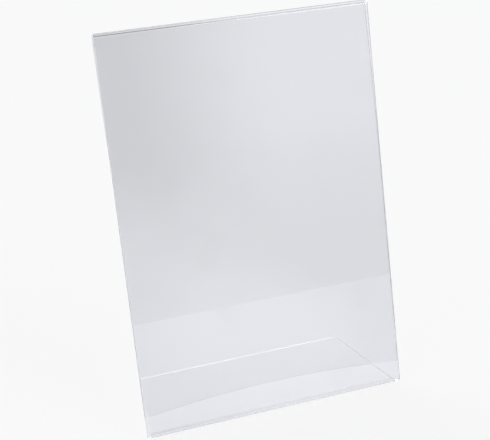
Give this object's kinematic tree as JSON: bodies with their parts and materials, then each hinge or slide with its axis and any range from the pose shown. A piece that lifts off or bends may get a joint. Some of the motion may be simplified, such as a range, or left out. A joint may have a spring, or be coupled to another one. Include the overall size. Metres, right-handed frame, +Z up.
{
  "type": "slanted display stand",
  "caption": "Clear plastic slanted stand that holds an upright A4 photo or card in a side-open pocket and rests on a tapered foot.",
  "frame": {"origin": "on the table, at the middle of the stand's footprint box", "axes": "+Z up, +Y towards the back, where the foot reaches, +X to the right of a person facing the panel"},
  "size_m": [0.213, 0.09, 0.3026],
  "materials": {
    "clear_sheet": "clear, polished, very slightly cool grey sheet"
  },
  "bodies": {
    "root": {"front_panel": "clear_sheet", "top_fold": "clear_sheet", "back_flap": "clear_sheet", "bottom_bend": "clear_sheet", "foot": "clear_sheet"}
  },
  "joints": []
}
